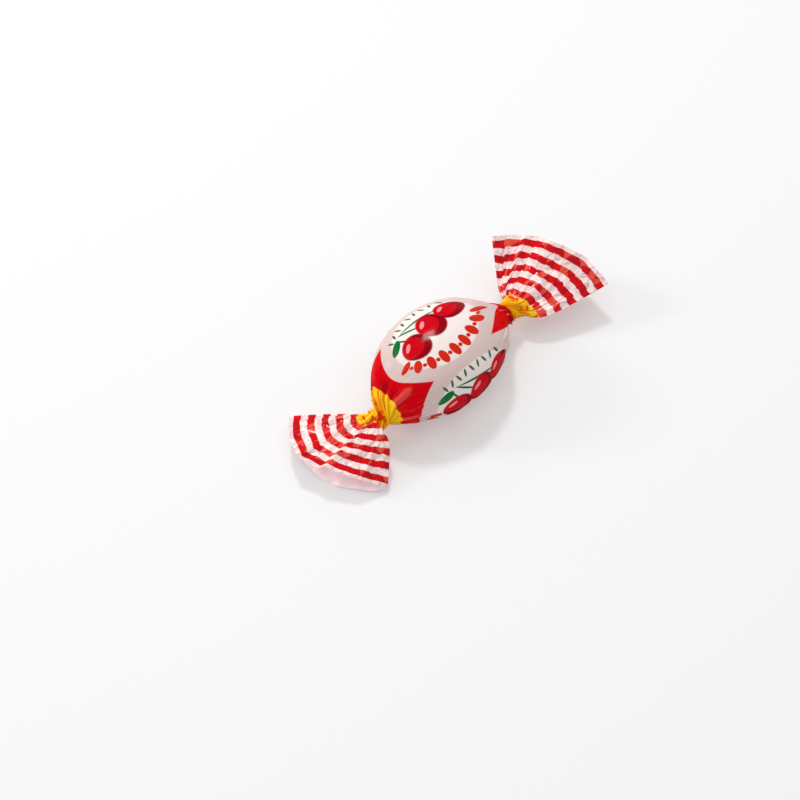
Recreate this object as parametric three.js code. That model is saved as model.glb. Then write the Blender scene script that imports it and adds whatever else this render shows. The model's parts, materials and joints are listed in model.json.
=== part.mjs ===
// A boiled sweet in a twist wrapper. The wrapper is one sheet of film: it lies tight over the
// lens-shaped sweet, is wrung into a neck at each end, and opens past the necks into two flat,
// fan-shaped tails, each still a squashed tube with an open mouth.
// Millimetres. X runs from tail to tail, Y across the sweet, and Z up from the table it lies on.

import * as THREE from "three";

const DEGREE = Math.PI / 180;

// The sweet, with the film drawn over it.
const SWEET_LENGTH = 31;
const SWEET_WIDTH = 20.8;
const SWEET_THICKNESS = 15.1;
const PROFILE_POWER = 0.573; // 0.5 would round the ends off like an ellipse, and more is more pointed
const SECTION_POWER = 2.3; // 2 is an ellipse, and more is squarer
const RESTING_DEPTH = 0.25; // how much of the round underside the table flattens

// The necks, where the film is wrung.
const NECK_RADIUS = 2.1;
const NECK_LENGTH = 2.4;
const NECK_SAG_START = 0.5; // how far out along the sweet the film begins to sag towards the neck
const TWIST = 200 * DEGREE;
const TWIST_REACH = 4; // how far up the end of the sweet the twist can be seen

// The pleats that gather the film into each neck, and run on into the tail.
const PLEATS = 12;
const PLEAT_DEPTH = 0.4;
const PLEAT_CREST = 0.72; // where in its width a pleat has its crest: 0.5 is even, and more leans over
const TAIL_PLEAT_DEPTH = 0.5;

// The tails. Each fold is a straight ray from the neck: [bearing in degrees from +X, length, height of
// its outer end]. The upper and lower layers share their two outermost folds. A tail's flare is given for
// its first fold and its last: the further below 1, the quicker it spreads where it leaves its neck.
const MOUTH_SETBACK = 0.06; // how far the inside of the mouth stays in from each side fold
const FILM = 0.3;
const SIDE_BULGE = 0.38; // half the thickness of a tail just inside its side folds
const LEFT_END = {
  side: -1,
  neckStart: 16,
  neckHeight: 4.6,
  pleatSeed: 7,
  flare: [0.65, 0.5],
  upper: [
    [122, 15.4, 3.5],
    [143, 15.3, 3.8],
    [162, 15.5, 3.9],
    [182, 13.4, 4.6],
    [211, 12.4, 3.2],
    [236, 12.3, 0.9],
  ],
  lower: [
    [122, 15.4, 3.5],
    [149, 14.5, 1.5],
    [176, 13.2, 0.9],
    [195, 12.6, 0.7],
    [223, 12.3, 0.6],
    [236, 12.3, 0.9],
  ],
  mouthDepth: 0.55,
};
const RIGHT_END = {
  side: 1,
  neckStart: 18.5,
  neckHeight: 3.9,
  pleatSeed: 23,
  flare: [0.65, 0.38],
  upper: [
    [60, 13.5, 9.5],
    [34, 13.5, 9.0],
    [21, 13.8, 9.1],
    [5, 13.2, 10.0],
    [-17, 16.0, 8.2],
    [-35, 18.2, 6.0],
  ],
  lower: [
    [60, 13.5, 9.5],
    [30, 14.6, 6.8],
    [4, 15.2, 6.2],
    [-15, 16.6, 5.2],
    [-35, 18.2, 6.0],
  ],
  mouthDepth: 0.5,
};

// How finely the film is divided.
const COLUMNS = 72;
const SWEET_RINGS = 32;
const NECK_RINGS = 5;
const TAIL_RINGS = 9;
const MOUTH_RINGS = 3;

const SWEET_HALF = SWEET_LENGTH / 2;
const SWEET_HEIGHT = SWEET_THICKNESS / 2 - RESTING_DEPTH; // of its middle above the table
const TURN = 2 * Math.PI;
const { clamp, euclideanModulo, lerp, smoothstep } = THREE.MathUtils;

// A repeatable stream of numbers from 0 to 1.
function randomStream(seed) {
  let state = seed;
  return () => {
    state = (state * 16807) % 2147483647;
    return state / 2147483647;
  };
}

// The pleats of one end: where each starts round the film, its depth and how far it runs up the sweet.
function makePleats(seed) {
  const random = randomStream(seed);
  const widths = Array.from({ length: PLEATS }, () => 0.6 + random());
  const total = widths.reduce((sum, width) => sum + width, 0);
  let start = 0;
  return widths.map((share) => {
    const pleat = {
      start,
      width: (share / total) * TURN,
      depth: 0.55 + 0.45 * random(),
      reach: 2.5 + 6.5 * random(),
    };
    start += pleat.width;
    return pleat;
  });
}

// The height of the pleats at an angle round the film, from -1 in a valley to 1 on a crest.
function pleatHeight(pleats, angle, distance) {
  const turned = euclideanModulo(angle, TURN);
  const pleat = pleats.find((p) => turned < p.start + p.width) ?? pleats[0];
  const across = (turned - pleat.start) / pleat.width;
  const slope =
    across < PLEAT_CREST
      ? across / PLEAT_CREST
      : (1 - across) / (1 - PLEAT_CREST);
  const fade = 1 - smoothstep(distance, 0.25 * pleat.reach, pleat.reach);
  return (2 * slope - 1) * pleat.depth * fade;
}

// The share of its full width that the film has at a distance along the sweet. The film follows the
// sweet and leaves it along a tangent, drawn straight to the neck.
function fullnessAt(end, distance) {
  const along = distance / SWEET_HALF;
  const reach = end.neckStart / SWEET_HALF;
  const sweet = (place) => (1 - place * place) ** PROFILE_POWER;
  const leaning = PROFILE_POWER * reach;
  const bluntness = 2 * PROFILE_POWER - 1;
  const leave = (leaning - Math.sqrt(leaning ** 2 - bluntness)) / bluntness;
  if (along < leave) return sweet(along);
  return sweet(leave) * clamp((reach - along) / (reach - leave), 0, 1);
}

// How far the film has turned about the axis, on its way from the sweet into a neck.
function twistAt(end, distance) {
  const start = end.neckStart - TWIST_REACH;
  return TWIST * smoothstep(distance, start, end.neckStart + NECK_LENGTH);
}

// A point of the film over the sweet or a neck, for one fibre of the film.
function wrapPoint(end, fibre, distance) {
  const toNeck = clamp(distance / end.neckStart, 0, 1);
  const fullness = fullnessAt(end, distance);
  const radius = (half) =>
    Math.hypot(NECK_RADIUS, fullness * Math.sqrt(half ** 2 - NECK_RADIUS ** 2));
  const power = 2 / lerp(SECTION_POWER, 2, toNeck);
  const angle = fibre + twistAt(end, distance);
  const squared = (value) => Math.sign(value) * Math.abs(value) ** power;
  const y = radius(SWEET_WIDTH / 2) * squared(Math.cos(angle));
  const z = radius(SWEET_THICKNESS / 2) * squared(Math.sin(angle));
  const fromNeck = Math.max(0, end.neckStart - distance);
  const lift = PLEAT_DEPTH * pleatHeight(end.pleats, fibre, fromNeck);
  const scale = 1 + lift / Math.hypot(y, z);
  const sag = clamp((toNeck - NECK_SAG_START) / (1 - NECK_SAG_START), 0, 1);
  const height = lerp(SWEET_HEIGHT, end.neckHeight, sag * sag);
  return new THREE.Vector3(end.side * distance, y * scale, height + z * scale);
}

// The outer end of a tail's layer, at a share of the way from its first fold to its last.
function layerEdge(end, folds, share) {
  const place = share * (folds.length - 1);
  const index = Math.min(folds.length - 2, Math.floor(place));
  const [from, to] = [folds[index], folds[index + 1]].map(
    ([bearing, length, height]) =>
      new THREE.Vector3(
        length * Math.cos(bearing * DEGREE),
        length * Math.sin(bearing * DEGREE),
        height - end.neckHeight,
      ),
  );
  return from.lerp(to, place - index);
}

// A point of a tail's film: 0 along is at the neck and 1 is the cut edge. The mouth's inner side is
// set in by the film's thickness.
function tailPoint(end, fibre, along, inMouth) {
  const neckEnd = end.neckStart + NECK_LENGTH;
  const root = new THREE.Vector3(end.side * neckEnd, 0, end.neckHeight);
  const start = wrapPoint(end, fibre, neckEnd).sub(root);
  const angle = euclideanModulo(fibre + TWIST, TURN);
  const isUpper = angle <= Math.PI;
  const share = isUpper ? angle / Math.PI : 2 - angle / Math.PI;
  const inner = inMouth ? lerp(MOUTH_SETBACK, 1 - MOUTH_SETBACK, share) : share;
  const edge = layerEdge(end, isUpper ? end.upper : end.lower, inner);
  const openness = Math.sqrt(Math.abs(Math.sin(angle)));
  const pleat = pleatHeight(end.pleats, fibre, 0) * 2 * along * (1 - along);
  const lift =
    SIDE_BULGE * openness * Math.min(1, 3 * along) -
    (inMouth ? FILM * openness : 0) +
    TAIL_PLEAT_DEPTH * pleat * openness;
  const gathered = (1 - along) ** 3;
  return new THREE.Vector3(
    root.x + edge.x * along,
    edge.y * along ** lerp(...end.flare, inner) + start.y * gathered,
    root.z + edge.z * along + start.z * gathered + (isUpper ? lift : -lift),
  );
}

// One ring of film, as points round it.
function ring(pointOf) {
  return Array.from({ length: COLUMNS }, (_, column) =>
    pointOf((column / COLUMNS) * TURN),
  );
}

// The rings of one end, from the middle of the sweet over the neck to the cut edge of the tail, and
// back into its mouth.
function endRings(end) {
  const distances = Array.from(
    { length: SWEET_RINGS / 2 },
    (_, index) => end.neckStart * Math.sin((index / SWEET_RINGS) * Math.PI),
  );
  for (let index = 0; index <= NECK_RINGS; index++)
    distances.push(end.neckStart + (NECK_LENGTH * index) / NECK_RINGS);
  const wrap = distances.map((distance) =>
    ring((fibre) => wrapPoint(end, fibre, distance)),
  );
  const outside = Array.from({ length: TAIL_RINGS }, (_, index) =>
    ring((fibre) => tailPoint(end, fibre, (index + 1) / TAIL_RINGS, false)),
  );
  const inside = Array.from({ length: MOUTH_RINGS }, (_, index) => {
    const along = 1 - (end.mouthDepth * index) / (MOUTH_RINGS - 1);
    return ring((fibre) => tailPoint(end, fibre, along, true));
  });
  return [...wrap, ...outside, ...inside];
}

// Joins rings into one closed skin. The mouth at each end is zipped shut, upper layer to lower.
function skinOf(rings) {
  const positions = rings.flat().flatMap((p) => [p.x, p.y, Math.max(0, p.z)]);
  const faces = [];
  const vertex = (row, column) => row * COLUMNS + euclideanModulo(column, COLUMNS);
  for (let row = 0; row < rings.length - 1; row++)
    for (let column = 0; column < COLUMNS; column++) {
      const [a, b] = [vertex(row, column), vertex(row, column + 1)];
      const [c, d] = [vertex(row + 1, column), vertex(row + 1, column + 1)];
      faces.push(a, b, d, a, d, c);
    }
  const sideFold = Math.round((-TWIST / TURN) * COLUMNS);
  for (const row of [0, rings.length - 1])
    for (let step = 0; step < COLUMNS / 2; step++) {
      const columns = [step, step + 1, -step - 1, -step].map(
        (offset) => sideFold + offset,
      );
      if (row === 0) columns.reverse();
      const [a, b, c, d] = columns.map((column) => vertex(row, column));
      if (a !== b && b !== c && a !== c) faces.push(a, b, c);
      if (a !== c && c !== d && a !== d) faces.push(a, c, d);
    }
  const skin = new THREE.BufferGeometry();
  skin.setAttribute("position", new THREE.Float32BufferAttribute(positions, 3));
  skin.setIndex(faces);
  skin.computeVertexNormals();
  return skin;
}

function wrappedSweet() {
  const [left, right] = [LEFT_END, RIGHT_END].map((end) => ({
    ...end,
    pleats: makePleats(end.pleatSeed),
  }));
  const skin = skinOf([...endRings(left).slice(1).reverse(), ...endRings(right)]);
  const film = new THREE.MeshStandardMaterial({
    color: 0xc8141e,
    roughness: 0.3,
    metalness: 0,
  });
  const mesh = new THREE.Mesh(skin, film);
  mesh.name = "wrapped_sweet";
  return mesh;
}

const model = new THREE.Group();
const sweet = wrappedSweet();
model.add(sweet);

// The origin is on the table, under the middle of the whole length and breadth.
const box = new THREE.Box3().setFromObject(model);
const middle = box.getCenter(new THREE.Vector3());
sweet.position.set(-middle.x, -middle.y, -box.min.z);

export default model;
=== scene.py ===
import json
import math

import bpy
import numpy as np
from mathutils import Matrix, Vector


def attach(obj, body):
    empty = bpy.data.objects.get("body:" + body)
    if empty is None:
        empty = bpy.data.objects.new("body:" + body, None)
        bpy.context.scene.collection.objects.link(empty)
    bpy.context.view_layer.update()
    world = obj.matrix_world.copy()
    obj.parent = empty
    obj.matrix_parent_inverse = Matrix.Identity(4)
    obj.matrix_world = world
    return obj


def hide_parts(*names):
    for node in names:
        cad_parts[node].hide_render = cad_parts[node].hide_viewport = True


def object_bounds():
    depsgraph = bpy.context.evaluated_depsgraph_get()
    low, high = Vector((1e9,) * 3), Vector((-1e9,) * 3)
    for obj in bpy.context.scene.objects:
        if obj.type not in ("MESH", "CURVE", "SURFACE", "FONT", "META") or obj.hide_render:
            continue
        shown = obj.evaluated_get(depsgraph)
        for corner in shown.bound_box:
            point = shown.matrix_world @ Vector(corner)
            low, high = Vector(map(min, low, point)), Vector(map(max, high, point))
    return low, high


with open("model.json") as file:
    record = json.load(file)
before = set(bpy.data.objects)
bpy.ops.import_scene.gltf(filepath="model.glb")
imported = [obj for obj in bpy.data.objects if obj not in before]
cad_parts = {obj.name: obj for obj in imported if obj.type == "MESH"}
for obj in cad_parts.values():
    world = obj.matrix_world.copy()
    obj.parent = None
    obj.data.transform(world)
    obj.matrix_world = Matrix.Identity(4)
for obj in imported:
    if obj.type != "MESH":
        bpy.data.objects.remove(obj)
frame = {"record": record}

cad_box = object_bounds()

# The sweet, with the film drawn over it. A boiled sweet is pressed between two dies into a plump lens.
# The film touches it all over the middle, leaves it along a tangent and runs straight to each neck,
# gathered into pleats as the way round gets shorter. A few long tucks lie over each other near the ends.
sweet_length, sweet_width, sweet_thickness = 31, 20.8, 15.1
profile_power, section_power = 0.573, 2.3
resting_depth = 0.25
sweet_half = sweet_length / 2
sweet_height = sweet_thickness / 2 - resting_depth

neck_radius, neck_length = 2.1, 2.4
sag_start = 0.5
twist, twist_reach = math.radians(140), 1.6
turn = 2 * math.pi

narrowest_pleat, shallowest_pleat = 0.6, 0.55
pleat_depth, fine_pleat_depth, even_crest = 0.4, 0.14, 0.5
deepest_groove, drawn_tight = 0.6, 0.12

# The facets of a crumple have a length in millimetres and a number of them round the film.
large_facets, small_facets = (3.4, 13), (1.3, 17)
large_facet_depth, small_facet_depth, neck_facet_depth = 0.2, 0.06, 0.16

# A tuck rises over its width, in degrees round the film, to an edge, and past the edge lies a groove.
tuck_width = 9
tuck_across, tuck_rise = (-0.5, -0.2, 0, 1), (0, -0.6, 1, 0)
tuck_start_fade, tuck_end_fade = 3, 2


def random_stream(seed):
    """Numbers from 0 to 1, always the same ones for a seed."""
    state = seed
    while True:
        state = state * 16807 % 2147483647
        yield state / 2147483647


def pleats_of(seed, count, reach_range):
    """Pleats side by side round the film, each with its start, width, depth and reach up the sweet."""
    draw = random_stream(seed)
    widths = np.array([narrowest_pleat + next(draw) for _ in range(count)])
    widths *= turn / widths.sum()
    own = np.array([[next(draw), next(draw)] for _ in range(count)])
    starts = np.concatenate([[0], np.cumsum(widths)[:-1]])
    depths = shallowest_pleat + (1 - shallowest_pleat) * own[:, 0]
    low, high = reach_range
    return starts, widths, depths, low + (high - low) * own[:, 1]


def pleat_at(pleats, fibre):
    """Which pleat a fibre lies in, and how far across it."""
    starts, widths = pleats[:2]
    turned = np.mod(fibre, turn)
    which = np.clip(np.searchsorted(starts, turned, side="right") - 1, 0, len(starts) - 1)
    return which, (turned - starts[which]) / widths[which]


def smooth_step(value, low, high):
    share = np.clip((value - low) / (high - low), 0, 1)
    return share * share * (3 - 2 * share)


def pleat_height(pleats, fibre, from_neck, crest):
    """Height over the pleats' mean, where a pleat's crest is at a share of its width."""
    depths, reaches = pleats[2:]
    which, across = pleat_at(pleats, fibre)
    slope = np.where(across < crest, across / crest, (1 - across) / (1 - crest))
    fade = 1 - smooth_step(from_neck, 0.25 * reaches[which], reaches[which])
    mean_height = depths.mean() * (1 - smooth_step(from_neck, 0, reaches.mean()))
    return 2 * slope * depths[which] * fade - mean_height


def crumple(along, fibre, facet_length, facets_round, seed):
    """Heights from -1 to 1 of a crumpled sheet: flat triangles that meet in creases."""
    draw = np.random.default_rng(seed)
    rows = int(np.ceil((along.max() - along.min()) / facet_length)) + 2
    heights = draw.uniform(-1, 1, (rows + 1, facets_round))
    row = (along - along.min()) / facet_length
    column = np.mod(fibre / turn, 1) * facets_round
    low_row, low_column = np.floor(row).astype(int), np.floor(column).astype(int)
    ahead, across = row - low_row, column - low_column
    own, next_one = low_column % facets_round, (low_column + 1) % facets_round
    corner, corner_ahead = heights[low_row, own], heights[low_row + 1, own]
    corner_across, far_corner = heights[low_row, next_one], heights[low_row + 1, next_one]
    near_half = corner + (corner_ahead - corner) * ahead + (corner_across - corner) * across
    far_half = far_corner + (corner_across - far_corner) * (1 - ahead)
    far_half += (corner_ahead - far_corner) * (1 - across)
    return np.where(ahead + across < 1, near_half, far_half)


def tuck_height(end, fibre, distance):
    height = np.zeros_like(distance)
    for bearing, first, last, depth in end["tucks"]:
        across = (np.degrees(np.mod(fibre, turn)) - bearing) / tuck_width
        starting = smooth_step(distance, first, first + tuck_start_fade)
        ending = smooth_step(distance, last - tuck_end_fade, last)
        height += depth * np.interp(across, tuck_across, tuck_rise) * starting * (1 - ending)
    return height


def fullness_at(end, distance):
    """The film's width at a distance from the middle, as a share of its width at the middle."""
    along = distance / sweet_half
    reach = end["neck_start"] / sweet_half
    leaning, bluntness = profile_power * reach, 2 * profile_power - 1
    leave = (leaning - math.sqrt(leaning**2 - bluntness)) / bluntness
    on_sweet = np.clip(1 - along**2, 0, 1) ** profile_power
    drawn = (1 - leave**2) ** profile_power * np.clip((reach - along) / (reach - leave), 0, 1)
    return np.where(along < leave, on_sweet, drawn)


def signed_power(value, power):
    return np.sign(value) * np.abs(value) ** power


def wrap_points(end, fibre, distance):
    """Places on the film over the sweet and along a neck, and how far each is lifted by the folds."""
    neck_start = end["neck_start"]
    to_neck = np.clip(distance / neck_start, 0, 1)
    fullness = fullness_at(end, distance)
    angle = fibre + twist * smooth_step(distance, neck_start - twist_reach, neck_start + neck_length)
    power = 2 / (section_power + (2 - section_power) * to_neck)

    def radius(half):
        return np.hypot(neck_radius, fullness * math.sqrt(half**2 - neck_radius**2))

    y = radius(sweet_width / 2) * signed_power(np.cos(angle), power)
    z = radius(sweet_thickness / 2) * signed_power(np.sin(angle), power)
    from_neck = np.maximum(0, neck_start - distance)
    tightness = smooth_step(distance, 0.3 * sweet_half, neck_start)
    near_neck = smooth_step(distance, neck_start - 4, neck_start)
    in_neck = smooth_step(distance, neck_start - 1, neck_start)
    pleats = pleat_height(end["pleats"], fibre, from_neck, even_crest)
    fine_pleats = pleat_height(end["fine_pleats"], fibre, from_neck, even_crest)
    lift = pleat_depth * (1 - 0.4 * in_neck) * pleats
    lift += fine_pleat_depth * (1 - 0.5 * in_neck) * fine_pleats
    lift += large_facet_depth * tightness * crumple(distance, fibre, *large_facets, end["seed"])
    small_depth = small_facet_depth * tightness + neck_facet_depth * near_neck
    lift += small_depth * crumple(distance, fibre, *small_facets, end["seed"] + 2)
    lift += tuck_height(end, fibre, distance) - drawn_tight * tightness
    scale = 1 + np.maximum(lift, -deepest_groove) / np.hypot(y, z)
    sag = np.clip((to_neck - sag_start) / (1 - sag_start), 0, 1) ** 2
    height = sweet_height + (end["neck_height"] - sweet_height) * sag
    return np.stack([end["side"] * distance, y * scale, height + z * scale], -1), lift


# The tails. Past each neck the film opens again into a squashed tube. It was flattened by the wrapping
# machine's grippers, so it has a few straight folds from the neck to the cut edge, and its mouth gapes.
film_thickness, least_gap, mouth_setback = 0.12, 0.04, 0.012
side_bulge, tail_length = 0.38, 15
tail_pleat_depth, tail_fine_pleat_depth, tail_crest = 0.55, 0.5, 0.6
tail_large_facets, tail_small_facets = (4.3, 15), (1.7, 37)
tail_large_depth, tail_small_depth = 0.42, 0.27

# A fold is its bearing from +X, its length, the height of its outer end and the film along it. A tuck is
# its bearing round the film, where it starts and ends along the sweet, and its depth. The flare tells how
# soon a tail spreads along its back and its front: the lower, the sooner.
left_end = {
    "side": -1,
    "neck_start": 16,
    "neck_height": 4.6,
    "seed": 7,
    "tucks": [(197, 6.0, 15.0, 0.26), (206, 3.0, 13.5, 0.32), (219, 5.0, 14.0, 0.3), (158, 9.0, 15.5, 0.14)],
    "flare": (0.65, 0.5),
    "upper": [
        (122, 15.4, 3.5, 14.4), (143, 15.3, 3.9, 14.7), (163, 15.3, 3.9, 15.4), (178, 13.8, 3.3, 16.2),
        (183, 13.3, 4.8, 14.2), (211, 12.4, 3.2, 12.6), (236, 12.3, 0.9, 11.9),
    ],
    "lower": [
        (122, 15.4, 3.5, 14.4), (149, 14.5, 1.5, 14.4), (176, 13.2, 0.9, 13.5),
        (195, 12.6, 0.7, 13.0), (223, 12.3, 0.6, 12.4), (236, 12.3, 0.9, 11.9),
    ],
    "mouth_depth": 0.55,
}
right_end = {
    "side": 1,
    "neck_start": 18.5,
    "neck_height": 3.9,
    "seed": 23,
    "tucks": [(152, 8.0, 16.0, 0.26), (168, 5.0, 15.0, 0.2), (182, 8.0, 16.0, 0.3), (203, 4.0, 14.0, 0.3)],
    "flare": (0.65, 0.38),
    "upper": [
        (60, 13.5, 9.5, 12.2), (36, 13.5, 8.7, 12.0), (32, 13.5, 9.3, 14.0), (21, 13.8, 9.2, 14.2),
        (5, 13.2, 10.0, 14.0), (-17, 16.0, 8.2, 15.0), (-35, 18.2, 6.0, 16.6),
    ],
    "lower": [
        (60, 13.5, 9.5, 12.2), (30, 14.6, 6.8, 14.0), (4, 15.2, 6.2, 14.5),
        (-15, 16.6, 5.2, 15.4), (-35, 18.2, 6.0, 16.6),
    ],
    "mouth_depth": 0.5,
}
for end in (left_end, right_end):
    end["pleats"] = pleats_of(end["seed"], 12, (2.5, 7.0))
    end["fine_pleats"] = pleats_of(end["seed"] + 1, 31, (1.5, 4.0))


def layer_edge(end, folds, share):
    """The place of a tail's cut edge, and the film along it, at a share of the way across a layer."""
    folds = np.array(folds, float)
    bearing = np.radians(folds[:, 0])
    ends = np.stack([folds[:, 1] * np.cos(bearing), folds[:, 1] * np.sin(bearing),
                     folds[:, 2] - end["neck_height"], folds[:, 3]], -1)
    steps = np.linalg.norm(np.diff(ends[:, :3], axis=0), axis=1)
    places = np.concatenate([[0], np.cumsum(steps)]) / steps.sum()
    return np.stack([np.interp(share, places, ends[:, axis]) for axis in range(4)], -1)


def tail_points(end, fibre, along, in_mouth):
    """Places on a tail at a share of the way along it, and the film from its neck to its cut edge."""
    neck_end = end["neck_start"] + neck_length
    root = np.array([end["side"] * neck_end, 0, end["neck_height"]])
    start = wrap_points(end, fibre, np.full_like(fibre, neck_end))[0] - root
    angle = np.mod(fibre + twist, turn)
    is_upper = angle <= math.pi
    share = np.where(is_upper, angle / math.pi, 2 - angle / math.pi)
    share = np.where(in_mouth, mouth_setback + (1 - 2 * mouth_setback) * share, share)
    upper_edge, lower_edge = (layer_edge(end, end[layer], share) for layer in ("upper", "lower"))
    edge = np.where(is_upper[:, None], upper_edge, lower_edge)

    openness = np.sqrt(np.abs(np.sin(angle)))
    ruffle = 2 * along * (1 - along)
    at_neck = np.zeros_like(fibre)
    pleats = pleat_height(end["pleats"], fibre, at_neck, tail_crest)
    fine_pleats = pleat_height(end["fine_pleats"], fibre, at_neck, even_crest)
    lift = side_bulge * openness * np.minimum(1, 3 * along)
    lift += tail_pleat_depth * openness * ruffle * pleats
    lift += tail_fine_pleat_depth * openness * ruffle * (1 - along) ** 3 * fine_pleats
    distance = along * tail_length
    crumpled = tail_large_depth * crumple(distance, fibre, *tail_large_facets, end["seed"] + 5)
    crumpled += tail_small_depth * crumple(distance, fibre, *tail_small_facets, end["seed"] + 6)
    lift += openness * smooth_step(along, 0, 0.3) * crumpled
    lift = np.maximum(lift, (film_thickness + least_gap) * openness)
    lift -= film_thickness * openness * in_mouth

    back_flare, front_flare = end["flare"]
    spread = along ** (back_flare + (front_flare - back_flare) * share)
    points = root + edge[:, :3] * np.stack([along, spread, along], -1)
    points[:, 1:] += start[:, 1:] * ((1 - along) ** 3)[:, None]
    points[:, 2] += np.where(is_upper, lift, -lift)
    return points, edge[:, 3]


# The wrapper itself. It is one sheet of printed film, rolled round the sweet with a lap along its
# underside, and wrung at both ends. It starts as a sphere, whose rings are led from the inside of one
# tail over its cut edge, along the outside of the whole wrapper and into the other tail.
columns = 360
sweet_rings, neck_rings, tail_rings, mouth_rings = 56, 16, 42, 20
tail_start_ring = sweet_rings + neck_rings
cut_edge_ring = tail_start_ring + tail_rings
rings_each_end = cut_edge_ring + mouth_rings
film_radius, sheet_half = 8.9, 38.85
lap_angle, lap_step, lap_width = math.radians(300), 0.14, 3.0
mouth_floor = 0.06

bpy.ops.object.select_all(action="DESELECT")
bpy.ops.mesh.primitive_uv_sphere_add(segments=columns, ring_count=2 * rings_each_end, radius=1)
wrapper = bpy.context.object
wrapper.name = "film_wrapper"
wrapper.data.name = "film_wrapper"
mesh = wrapper.data

on_sphere = np.empty(len(mesh.vertices) * 3)
mesh.vertices.foreach_get("co", on_sphere)
on_sphere = on_sphere.reshape(-1, 3)
ring = np.rint(np.arccos(np.clip(on_sphere[:, 2], -1, 1)) / math.pi * 2 * rings_each_end).astype(int)
column = np.rint(np.arctan2(on_sphere[:, 1], on_sphere[:, 0]) / turn * columns).astype(int) % columns
is_pole = (ring == 0) | (ring == 2 * rings_each_end)
from_middle = np.abs(ring - rings_each_end)

# How far each ring is along the neck, along the tail and back into the mouth.
steps = np.arange(rings_each_end + 1)
neck_steps = np.clip(steps - sweet_rings, 0, neck_rings) / neck_rings
tail_steps = np.clip(steps - tail_start_ring, 0, tail_rings) / tail_rings
mouth_steps = np.clip(steps - cut_edge_ring, 0, mouth_rings) / mouth_rings


def walk_along(first, second):
    """How far it is to each place of a curve, walked along it from its first place."""
    return np.concatenate([[0], np.cumsum(np.hypot(np.diff(first), np.diff(second)))])


# The print was not quite in the middle when the sweet was wrapped. The film is drawn in over the right
# end of the sweet, and over the left end it is pulled askew, most at the back.
print_middle = -0.95
drawn_reach, drawn_end, neck_stretch = 15.4, 19.0, 1.3
askew_pull, askew_from, askew_to = 3.2, math.radians(130), math.radians(10)


def print_on_wrap(end, fibre, distance):
    """How far along the sheet the film is that lies over the sweet and along a neck."""
    places = np.linspace(0, end["neck_start"] + neck_length, 400)
    walked = walk_along(places, film_radius * fullness_at(end, places))
    on_wrap = np.interp(distance, places, walked) - end["side"] * print_middle
    if end is left_end:
        askew = smooth_step(np.mod(fibre, turn), askew_from, askew_to)
        return on_wrap + askew_pull * askew * smooth_step(distance, 0.82 * sweet_half, sweet_half)
    drawn_in = on_wrap / np.sqrt(1 + (on_wrap / drawn_reach) ** 2)
    return drawn_in + neck_stretch * np.maximum(0, on_wrap - drawn_end)


most_slip, crumple_slip, slip_facets = 0.16, 0.13, (2.2, 44)
past_the_edge = 0.001


def slip_of(pleats, fibre, seed):
    """How far each pleat has slipped along its neighbours, so that the print steps from one to the next."""
    draw = np.random.default_rng(seed)
    count = len(pleats[0])
    slip = draw.uniform(-most_slip, most_slip, count)
    tilt = draw.uniform(-most_slip, most_slip, count)
    which, across = pleat_at(pleats, fibre)
    return slip[which] + tilt[which] * (across - 0.5)


def print_on_tail(end, own_column, along, film, in_mouth):
    """How far along the sheet the film on a tail is, measured back from the cut edge on each fibre."""
    shares = np.linspace(0, 1, tail_rings + 1)
    fibres = np.arange(columns) / columns * turn + lap_angle
    outside = np.zeros(columns * len(shares), bool)
    walk = tail_points(end, np.repeat(fibres, len(shares)), np.tile(shares, columns), outside)[0]
    walked = np.linalg.norm(np.diff(walk.reshape(columns, -1, 3), axis=1), axis=2)
    walked = np.concatenate([np.zeros((columns, 1)), np.cumsum(walked, axis=1)], axis=1)
    walked /= walked[:, -1:]
    place = along * tail_rings
    low = np.clip(np.floor(place).astype(int), 0, tail_rings - 1)
    passed = walked[own_column, low]
    passed += (walked[own_column, low + 1] - passed) * (place - low)
    from_edge = (1 - passed) * film
    slip = slip_of(end["fine_pleats"], fibres[own_column], end["seed"] + 9)
    slip += crumple_slip * crumple(from_edge, fibres[own_column], *slip_facets, end["seed"] + 11)
    slip *= 1 - passed**12
    return np.where(in_mouth, sheet_half + from_edge + past_the_edge, sheet_half - from_edge + slip)


fibre = column / columns * turn + lap_angle
points = np.empty_like(on_sphere)
sheet_along = np.empty(len(points))
fold_height = np.zeros(len(points))
for end, here in ((left_end, ring > rings_each_end), (right_end, ring <= rings_each_end)):
    place = from_middle[here]
    distance = end["neck_start"] * np.sin(np.minimum(place / sweet_rings, 1) * math.pi / 2)
    distance += neck_length * neck_steps[place]
    along = tail_steps[place] * (1 - end["mouth_depth"] * mouth_steps[place])
    in_tail = place > tail_start_ring
    in_mouth = place > cut_edge_ring
    wrapped, lift = wrap_points(end, fibre[here], distance)
    opened, film = tail_points(end, fibre[here], along, in_mouth)
    points[here] = np.where(in_tail[:, None], opened, wrapped)
    fold_height[here] = np.where(in_tail, 0, lift)
    on_wrap = print_on_wrap(end, fibre[here], distance)
    on_tail = print_on_tail(end, column[here], along, film, in_mouth)
    sheet_along[here] = end["side"] * np.where(in_tail, on_tail, on_wrap)

# The lap: the sheet's outer edge lies on its inner one, so the surface steps down across it.
lap_distance = np.mod(fibre - lap_angle, turn) * film_radius
rise = lap_step * np.clip(1 - lap_distance / lap_width, 0, 1) * (from_middle <= sweet_rings)
outward = points * (0, 1, 1) - (0, 0, sweet_height)
outward /= np.linalg.norm(outward, axis=1, keepdims=True) + 1e-9
points += outward * rise[:, None]

# The bottom of each mouth closes to the middle of its last ring, and its film stays off the table.
for pole, row in ((0, 1), (2 * rings_each_end, 2 * rings_each_end - 1)):
    points[ring == pole] = points[ring == row].mean(axis=0)
    sheet_along[ring == pole] = sheet_along[ring == row].mean()
points[:, 2] = np.maximum(points[:, 2], np.where(from_middle > cut_edge_ring, mouth_floor, 0))

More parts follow.
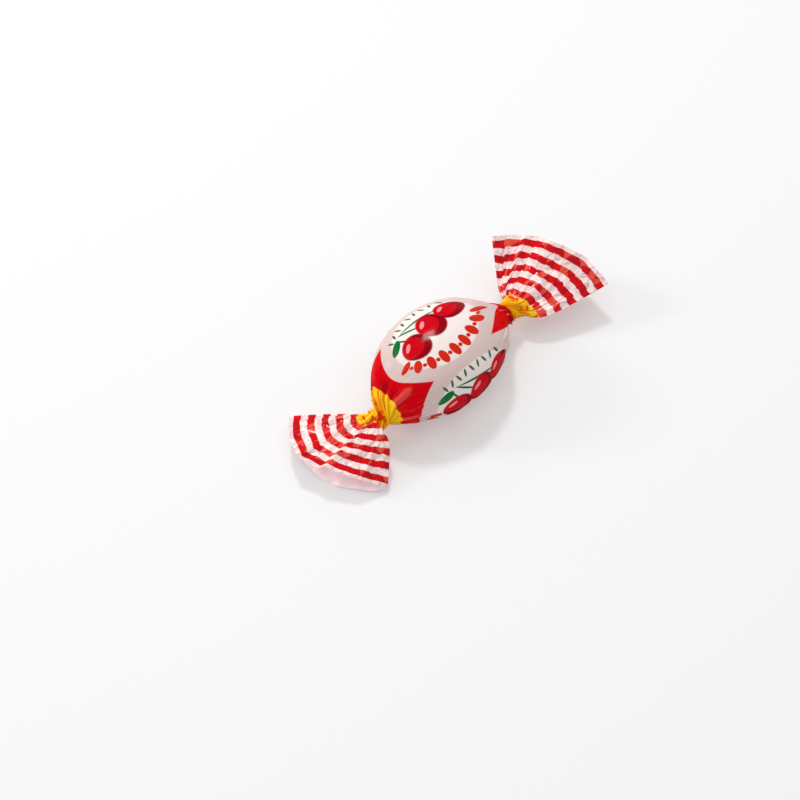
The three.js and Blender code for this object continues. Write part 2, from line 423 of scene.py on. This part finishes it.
rest = frame["record"]["mounts"][0]["pos_m"]
placed = np.clip(points * 0.001 + np.array([rest[0], rest[1], 0]), cad_box[0], cad_box[1])
mesh.vertices.foreach_set("co", placed.ravel())

# The sheet's own measure, in millimetres: along it from its middle, and round it from the top.
section = np.linspace(0, turn, 2000) + lap_angle
section_y = sweet_width / 2 * signed_power(np.cos(section), 2 / section_power)
section_z = sweet_thickness / 2 * signed_power(np.sin(section), 2 / section_power)
walked_round = walk_along(section_y, section_z)
walked_to_top = np.interp(math.pi / 2 + turn, section, walked_round)

corner_vertex = np.empty(len(mesh.loops), int)
mesh.loops.foreach_get("vertex_index", corner_vertex)
face_start = np.empty(len(mesh.polygons), int)
mesh.polygons.foreach_get("loop_start", face_start)
face_size = np.diff(np.append(face_start, len(mesh.loops)))


def of_face(pick, values):
    """The lowest or the highest value of a face's corners, at each of its corners."""
    return np.repeat(pick.reduceat(values, face_start), face_size)


at_pole = is_pole[corner_vertex]
corner_column = column[corner_vertex].astype(float)
lowest = of_face(np.minimum, np.where(at_pole, columns, corner_column))
highest = of_face(np.maximum, np.where(at_pole, -1, corner_column))
past_lap = (highest - lowest > columns / 2) & (corner_column < columns / 2)
corner_column = np.where(past_lap, corner_column + columns, corner_column)
corner_column = np.where(at_pole, lowest, corner_column)
corner_angle = lap_angle + corner_column / columns * turn
corner_round = np.interp(corner_angle, section, walked_round) - walked_to_top
sheet_uv = np.stack([sheet_along[corner_vertex], corner_round], -1)
mesh.uv_layers.active.name = "sheet"
mesh.uv_layers["sheet"].data.foreach_set("uv", sheet_uv.ravel())
mesh.attributes.new("fold", "FLOAT", "POINT").data.foreach_set("value", fold_height)

bpy.ops.object.mode_set(mode="EDIT")
bpy.ops.mesh.select_all(action="SELECT")
bpy.ops.mesh.normals_make_consistent(inside=False)
bpy.ops.object.mode_set(mode="OBJECT")
bpy.ops.object.shade_smooth_by_angle(angle=math.radians(28))

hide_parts("wrapped_sweet")
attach(wrapper, "root")


# The print on the film. White ovals on a red ground lie round the middle, a yellow band covers each
# neck, and red and white stripes run to the cut edges. The film is glossy and shows its fine creases, and
# its folds and crumpled tails carry painted shade and painted highlights.
class Field:
    """A value that changes over the film: a socket of the film's material."""

    def __init__(self, tree, socket=None):
        self.tree = tree
        self.socket = socket

    def make(self, kind, settings=(), inputs=(), output=0):
        node = self.tree.nodes.new(kind)
        for name, value in dict(settings).items():
            setattr(node, name, value)
        for name, value in dict(inputs).items():
            if isinstance(value, Field):
                self.tree.links.new(value.socket, node.inputs[name])
            else:
                node.inputs[name].default_value = value
        return Field(self.tree, node.outputs[output])

    def maths(self, operation, *values):
        return self.make("ShaderNodeMath", {"operation": operation}, enumerate(values))

    def __add__(self, other):
        return self.maths("ADD", self, other)

    def __radd__(self, other):
        return self.maths("ADD", other, self)

    def __sub__(self, other):
        return self.maths("SUBTRACT", self, other)

    def __rsub__(self, other):
        return self.maths("SUBTRACT", other, self)

    def __mul__(self, other):
        return self.maths("MULTIPLY", self, other)

    def __rmul__(self, other):
        return self.maths("MULTIPLY", other, self)

    def __truediv__(self, other):
        return self.maths("DIVIDE", self, other)

    def __abs__(self):
        return self.maths("ABSOLUTE", self)

    def __mod__(self, other):
        return self.maths("FLOORED_MODULO", self, other)

    def __pow__(self, other):
        return self.maths("POWER", self, other)

    def __and__(self, other):
        return self.maths("MINIMUM", self, other)

    def over(self, edge, soft):
        """1 where the value is over the edge and 0 where it is under, with a soft line between."""
        return self.make("ShaderNodeMapRange", {"interpolation_type": "SMOOTHSTEP"},
                         {0: self - edge, 1: -soft, 2: soft})

    def paint(self, under, colour):
        """Lays a colour over another where this mask is 1."""
        return self.make("ShaderNodeMix", {"data_type": "RGBA"}, {0: self, 6: under, 7: colour}, 2)


def ink(red, green, blue):
    """A colour as it is read off a screen, from 0 to 255, as Blender's own linear values."""
    def linear(value):
        share = value / 255
        return share / 12.92 if share <= 0.04045 else ((share + 0.055) / 1.055) ** 2.4
    return (linear(red), linear(green), linear(blue), 1.0)


film_material = bpy.data.materials.new("printed_film")
film_material.use_nodes = True
tree = film_material.node_tree
tree.nodes.clear()
new = Field(tree)
sheet_place = new.make("ShaderNodeUVMap", {"uv_map": "sheet"})
sheet_x = new.make("ShaderNodeSeparateXYZ", (), {0: sheet_place}, 0)
sheet_y = new.make("ShaderNodeSeparateXYZ", (), {0: sheet_place}, 1)
fold = new.make("ShaderNodeAttribute", {"attribute_name": "fold"}, (), 2)
object_place = new.make("ShaderNodeTexCoord", (), (), 3)

# Past its cut edge, at half its length, the sheet's measure goes on along the inside of the mouth.
side = new.maths("SIGN", sheet_x)
inside = abs(sheet_x).over(sheet_half, 0.01)
reach = abs(sheet_x) & (2 * sheet_half - abs(sheet_x))
print_x = reach * side
from_cut = sheet_half - reach


def pattern(kind, place, stretch, settings=(), inputs=(), output=0):
    """A texture at a place on the film, with a scale of its own in each direction."""
    stretched = new.make("ShaderNodeMapping", (), {0: place, "Scale": stretch})
    return new.make(kind, settings, {"Vector": stretched, "Scale": 1.0, **dict(inputs)}, output)


ground_red, oval_edge, oval_white = ink(214, 0, 14), ink(216, 194, 190), ink(237, 226, 222)
oval_half_length, oval_half_width, oval_power = 12.0, 9.9, 2.3
oval_pitch, oval_middle, heart_of_oval = 16.8, -1.0, 0.5
oval_y = (sheet_y - oval_middle + oval_pitch / 2) % oval_pitch - oval_pitch / 2
oval_size = (reach / oval_half_length) ** oval_power + (abs(oval_y) / oval_half_width) ** oval_power
in_oval = 1 - oval_size.over(1.0, 0.02)
in_heart = 1 - oval_size.over(heart_of_oval, 0.03)
colour = in_oval.paint(ground_red, oval_edge)
colour = in_heart.paint(colour, oval_white)


def disc(x, y, half_width, half_height, slope=0.0):
    """1 inside an ellipse about a place on the oval, turned by a slope in degrees."""
    turned_x, turned_y = math.cos(math.radians(slope)), math.sin(math.radians(slope))
    across, down = print_x - x, oval_y - y
    along_it = (across * turned_x + down * turned_y) / half_width
    over_it = (down * turned_x - across * turned_y) / half_height
    size = along_it * along_it + over_it * over_it
    return 1 - size.over(1.0, 0.12)


# A spray of three round cherries fills each oval. A stem is its middle, its half length and its slope, and
# a cherry its middle and its radius.
stems = ((-5.0, -3.3, 1.7, 62), (-2.7, -3.9, 2.3, 34), (0.4, -4.3, 4.4, 9))
stem_half_width = 0.22
cherries = ((-4.6, 0.1, 3.1), (1.0, -1.3, 3.0), (5.9, -2.2, 2.6))
cherry_red, cherry_dark, cherry_shine = ink(198, 4, 24), ink(140, 0, 14), ink(246, 158, 152)
leaf_green = ink(12, 108, 48)
for x, y, half_length, slope in stems:
    colour = disc(x, y, half_length, stem_half_width, slope).paint(colour, leaf_green)
leaf = disc(-6.9, -3.7, 1.9, 0.85, -28)
colour = leaf.paint(colour, leaf_green)
for x, y, radius in cherries:
    lit_side = disc(x - 0.2 * radius, y - 0.22 * radius, 0.8 * radius, 0.8 * radius)
    colour = disc(x, y, radius, radius).paint(colour, lit_side.paint(cherry_dark, cherry_red))
    shine = disc(x - 0.38 * radius, y - 0.42 * radius, 0.34 * radius, 0.14 * radius, -35)
    colour = (shine * 0.8).paint(colour, cherry_shine)

# Lozenges with dots between them lie along the near rim of each oval, and slanted dashes along the far one.
lozenge_count, lozenge_red = 9, ink(206, 40, 20)
lozenge_size, dot_size = (1.45, 0.82), (0.42, 0.42)
rim_half_length, rim_half_width, rim_power = 9.4, 5.7, 2 / oval_power
rim_bearing = np.linspace(math.radians(165), math.radians(15), 600)
rim_x = rim_half_length * signed_power(np.cos(rim_bearing), rim_power)
rim_y = rim_half_width * signed_power(np.sin(rim_bearing), rim_power)
rim_walk = walk_along(rim_x, rim_y)


def on_rim(walked):
    return float(np.interp(walked, rim_walk, rim_x)), float(np.interp(walked, rim_walk, rim_y))


for step in range(2 * lozenge_count - 1):
    walked = rim_walk[-1] * step / (2 * lozenge_count - 2)
    x, y = on_rim(walked)
    (before_x, before_y), (after_x, after_y) = on_rim(walked - 0.1), on_rim(walked + 0.1)
    outward_slope = math.degrees(math.atan2(after_x - before_x, before_y - after_y))
    size = dot_size if step % 2 else lozenge_size
    colour = disc(x, y, *size, outward_slope).paint(colour, lozenge_red)

dash_count, dash_row_half, dash_size, dash_green = 9, 6.4, (0.75, 0.25), ink(66, 104, 80)
for step in range(dash_count):
    x = dash_row_half * (2 * step / (dash_count - 1) - 1)
    y = -6.5 + 0.02 * x * x
    colour = disc(x, y, *dash_size, 110 if step % 2 else 70).paint(colour, dash_green)

# The yellow band starts in ragged rays. Its creases are orange, and red shows through the film at the neck.
yellow_start, raggedness = 16.35, 0.9
yellow, orange, red_through = ink(255, 214, 32), ink(224, 92, 12), ink(222, 52, 10)
rays = pattern("ShaderNodeTexNoise", sheet_place, (0.16, 1.5, 1.0), (), {"Detail": 3.0, "Roughness": 0.6})
blotch = pattern("ShaderNodeTexNoise", object_place, (750, 750, 750), (), {"Detail": 4.0, "Roughness": 0.65})
in_yellow = (reach - 0.5 * side + rays * raggedness).over(yellow_start, 0.1)
creased = (rays - fold * 0.35).over(0.53, 0.05)
mottled = blotch.over(0.53, 0.05) * reach.over(20.0, 1.2)
band = (creased * 0.75).paint(yellow, orange)
band = mottled.paint(band, red_through)
colour = in_yellow.paint(colour, band)

# Stripes run across the tails, from the cut edge in.
cut_border, stripe_pitch, stripe_width, stripe_count = 0.8, 2.75, 1.4, 5
stripe_white = ink(252, 230, 226)
stripes_end = cut_border + (stripe_count - 1) * stripe_pitch + stripe_width
in_stripes = 1 - from_cut.over(stripes_end, 0.08)
on_stripe = 1 - ((from_cut - cut_border) % stripe_pitch).over(stripe_width, 0.08)
colour = in_stripes.paint(colour, on_stripe.paint(stripe_white, ground_red))

# On the sweet, painted shade and painted highlights run in fine rays in to the necks. The bottoms of the
# folds get painted shade, and their crests get painted highlights. Each of these has one colour on the red
# and another on the ovals.
on_sweet = (1 - in_yellow) * (1 - in_stripes)
drawn_in = reach.over(10.0, 5.0) * on_sweet
ray_shade = rays.over(0.56, 0.06) * drawn_in
ray_highlight = (1 - rays.over(0.4, 0.04)) * drawn_in
# Painted shade in the bottoms of the folds, and painted highlights along their crests.
fold_shade = (1 - fold.over(-0.2, 0.1)) * on_sweet
crest = fold.over(0.2, 0.07) * on_sweet
for mask, strength, shading_on_red, shading_on_oval in (
        (ray_shade, 0.4, ink(146, 0, 18), ink(196, 168, 168)),
        (ray_highlight, 0.28, ink(232, 72, 66), ink(250, 242, 240)),
        (fold_shade, 0.6, ink(122, 0, 16), ink(182, 152, 154)),
        (crest, 0.38, ink(240, 112, 104), ink(252, 244, 242))):
    colour = (mask * strength).paint(colour, in_oval.paint(shading_on_red, shading_on_oval))

# On the crumpled tails, painted highlights lie in hard-edged patches where facets would catch the light, and
# painted shade darkens other facets and the creases.
facet_stretch = (0.36, 0.6, 1.0)
to_edge = {"feature": "DISTANCE_TO_EDGE"}
facet_colour = pattern("ShaderNodeTexVoronoi", sheet_place, facet_stretch, output=1)
facet_tone = new.make("ShaderNodeSeparateXYZ", (), {0: facet_colour}, 0)
facet_edge = pattern("ShaderNodeTexVoronoi", sheet_place, facet_stretch, to_edge)
crinkle = pattern("ShaderNodeTexNoise", sheet_place, (0.35, 1.3, 1.0), (), {"Detail": 5.0, "Roughness": 0.6})
on_red = in_stripes * on_stripe
facet_highlight = facet_tone.over(0.72, 0.05) * on_red * (0.15 + 0.8 * crinkle)
colour = facet_highlight.paint(colour, ink(246, 104, 84))
facet_shade = (1 - facet_tone.over(0.34, 0.08)) * in_stripes
colour = (facet_shade * 0.42).paint(colour, on_red.paint(ink(206, 176, 178), ink(150, 0, 22)))
# Painted shade along the creases of the tails.
crease_shade = (1 - facet_edge.over(0.05, 0.04)) * in_stripes * crinkle.over(0.48, 0.12)
colour = (crease_shade * 0.55).paint(colour, on_red.paint(ink(190, 120, 128), ink(128, 0, 20)))

# Inside a mouth only a trace of the print shows through the back of the film.
film_back = ink(238, 224, 228)
through_film = (inside * 0.1).paint(film_back, colour)
colour = inside.paint(colour, through_film)

fine_creases = pattern("ShaderNodeTexVoronoi", sheet_place, (0.28, 0.7, 1.0), to_edge)
relief = crinkle * 0.5 + (fine_creases & 0.12) * 1.5
bump = new.make("ShaderNodeBump", (), {"Strength": 0.65, "Distance": 0.0002, "Height": relief})
shader = new.make("ShaderNodeBsdfPrincipled", (), {
    "Base Color": colour,
    "Roughness": 0.3 + crinkle * 0.15,
    "Normal": bump,
    "IOR": 1.5,
    "Specular IOR Level": 0.0,
    "Coat Weight": (0.04 + crinkle * 0.12) * (1 + in_stripes * 2.4),
    "Coat Roughness": 0.1,
    # Inside each mouth the film glows faintly: painted light that brightens the inside of the mouth.
    "Emission Color": inside.paint((0, 0, 0, 1), ink(240, 208, 208)),
    "Emission Strength": 0.16,
})
output = tree.nodes.new("ShaderNodeOutputMaterial")
tree.links.new(shader.socket, output.inputs["Surface"])
mesh.materials.clear()
mesh.materials.append(film_material)

# The table: a plain white sweep, big enough to fill the view from any side. It shines a little, as a
# tabletop lit from below does, so that shadows on it stay pale.
bpy.ops.object.select_all(action="DESELECT")
bpy.ops.mesh.primitive_plane_add(size=4)
table = bpy.context.object
table.name = "white_table"
table_material = bpy.data.materials.new("white_table")
table_material.use_nodes = True
table_shader = table_material.node_tree.nodes["Principled BSDF"]
table_shader.inputs["Base Color"].default_value = (0.58, 0.59, 0.595, 1)
table_shader.inputs["Emission Color"].default_value = (1, 1, 1, 1)
table_shader.inputs["Emission Strength"].default_value = 0.26
table_shader.inputs["Roughness"].default_value = 0.6
table.data.materials.append(table_material)

# The light: a white room with a wide soft box overhead, which the film doesn't mirror, and two small
# bright boxes behind the sweet, which it does.
world = bpy.data.worlds.new("white_room")
bpy.context.scene.world = world
world.use_nodes = True
room = world.node_tree.nodes["Background"]
room.inputs["Color"].default_value = (1, 0.97, 0.96, 1)
room.inputs["Strength"].default_value = 0.58


def soft_box(name, place, width, power, is_mirrored=True):
    light = bpy.data.lights.new(name, "AREA")
    light.shape = "SQUARE"
    light.size = width
    light.energy = power
    box = bpy.data.objects.new(name, light)
    box.location = place
    box.visible_glossy = is_mirrored
    box.rotation_euler = (Vector((0, 0, 0)) - Vector(place)).to_track_quat("-Z", "Y").to_euler()
    bpy.context.scene.collection.objects.link(box)


soft_box("overhead", (0.05, 0.2, 0.8), 2.0, 4.2, is_mirrored=False)
soft_box("back_left", (-0.36, 0.6, 0.34), 0.16, 1.5)
soft_box("back", (0.32, 0.42, 0.7), 0.12, 2.4)

# The camera: a long lens from the photograph's side and height, aimed so that the sweet's middle falls
# where it does in the photograph.
camera_bearing, camera_height = math.radians(-47.6), math.radians(50)
camera_distance, lens, sensor = 0.6, 147, 36
frame_width, middle_in_frame = 800, (439.7, 357.6)
back = Vector((math.sin(camera_bearing) * math.cos(camera_height),
               -math.cos(camera_bearing) * math.cos(camera_height), math.sin(camera_height)))
right = Vector((math.cos(camera_bearing), math.sin(camera_bearing), 0))
up = back.cross(right)
pixel = camera_distance * sensor / lens / frame_width
middle = Vector((rest[0], rest[1], sweet_height * 0.001))
aim = middle - right * (middle_in_frame[0] - frame_width / 2) * pixel
aim -= up * (frame_width / 2 - middle_in_frame[1]) * pixel
camera_data = bpy.data.cameras.new("camera")
camera_data.lens = lens
camera_data.sensor_width = sensor
camera = bpy.data.objects.new("camera", camera_data)
camera.location = aim + back * camera_distance
camera.rotation_euler = back.to_track_quat("Z", "Y").to_euler()
bpy.context.scene.collection.objects.link(camera)
bpy.context.scene.camera = camera
bpy.context.scene.view_settings.view_transform = "Standard"
